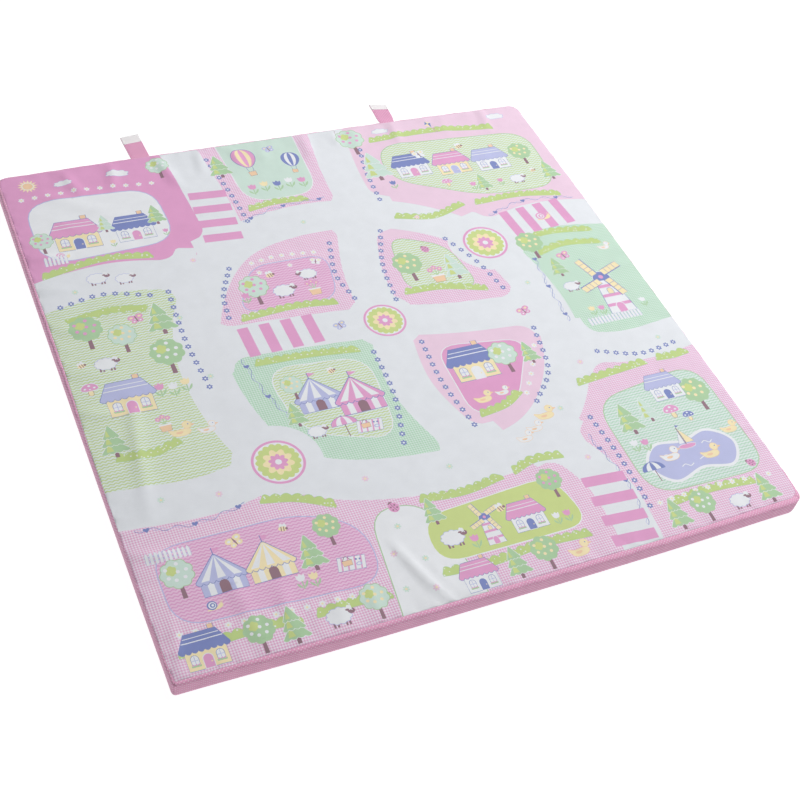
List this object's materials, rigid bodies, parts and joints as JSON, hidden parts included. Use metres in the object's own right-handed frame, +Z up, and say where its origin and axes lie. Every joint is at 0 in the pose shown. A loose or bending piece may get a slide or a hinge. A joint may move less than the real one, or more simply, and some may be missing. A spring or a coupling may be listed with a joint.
{
  "type": "padded play mat with pin-dot boxing and two strap ends",
  "caption": "Flat square foam mat in a sewn cover: printed cotton top, pin-dot boxing round its walls, and strap ends with hook tape behind its back edge.",
  "frame": {"origin": "middle of the mat's underside, where it rests on the floor", "axes": "+Z up, +Y towards the back edge with the straps, +X to the right along the front edge"},
  "size_m": [1.0035, 1.1095, 0.0349],
  "materials": {
    "printed_cotton": "printed plain-weave cotton",
    "pin_dot_cloth": "pink plain-weave cotton with white pin dots",
    "base_cloth": "plain white plain-weave cloth",
    "foam": "soft open-cell foam",
    "hook_tape": "white woven tape with fine hooks"
  },
  "bodies": {
    "root": {"pad_body": "foam", "top_panel": "printed_cotton", "base_panel": "base_cloth", "boxing_front": "pin_dot_cloth", "boxing_right": "pin_dot_cloth", "boxing_back": "pin_dot_cloth", "boxing_left": "pin_dot_cloth", "strap_left": "pin_dot_cloth", "strap_right": "pin_dot_cloth", "hook_tape_left": "hook_tape", "hook_tape_right": "hook_tape"}
  },
  "joints": []
}
